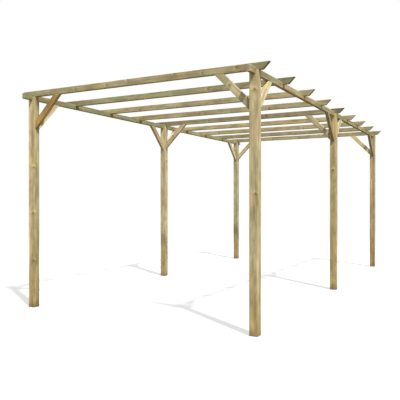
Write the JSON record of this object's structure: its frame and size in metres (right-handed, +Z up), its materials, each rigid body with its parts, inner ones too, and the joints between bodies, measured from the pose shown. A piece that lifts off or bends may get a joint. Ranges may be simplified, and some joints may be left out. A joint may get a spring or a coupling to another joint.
{
  "type": "timber pergola",
  "caption": "Free-standing open timber pergola: square posts carry two long rails and a row of notched rafters, stiffened by knee braces.",
  "frame": {"origin": "on the ground at the middle of the plan", "axes": "+X across to the right, +Y from the front to the back along the rails, +Z up"},
  "size_m": [2.7, 5.28, 2.205],
  "materials": {
    "post_timber": "planed pressure-treated softwood, pale beige with a green cast and small knots",
    "rail_timber": "planed pressure-treated softwood, greener than the posts",
    "rafter_timber": "planed pressure-treated softwood, brown and green streaks",
    "brace_timber": "planed pressure-treated softwood, pale cream"
  },
  "bodies": {
    "root": {"post_front_left": "post_timber", "post_front_right": "post_timber", "post_middle_left": "post_timber", "post_middle_right": "post_timber", "post_back_left": "post_timber", "post_back_right": "post_timber", "rail_left_front": "rail_timber", "rail_left_back": "rail_timber", "rail_right_front": "rail_timber", "rail_right_back": "rail_timber", "rafter_1": "rafter_timber", "rafter_2": "rafter_timber", "rafter_3": "rafter_timber", "rafter_4": "rafter_timber", "rafter_5": "rafter_timber", "rafter_6": "rafter_timber", "rafter_7": "rafter_timber", "rafter_8": "rafter_timber", "rafter_9": "rafter_timber", "cross_brace_front_left": "brace_timber", "cross_brace_front_right": "brace_timber", "cross_brace_middle_left": "brace_timber", "cross_brace_middle_right": "brace_timber", "cross_brace_back_left": "brace_timber", "cross_brace_back_right": "brace_timber", "side_brace_left_front_bay_front": "brace_timber", "side_brace_left_front_bay_back": "brace_timber", "side_brace_left_back_bay_front": "brace_timber", "side_brace_left_back_bay_back": "brace_timber", "side_brace_right_front_bay_front": "brace_timber", "side_brace_right_front_bay_back": "brace_timber", "side_brace_right_back_bay_front": "brace_timber", "side_brace_right_back_bay_back": "brace_timber"}
  },
  "joints": []
}
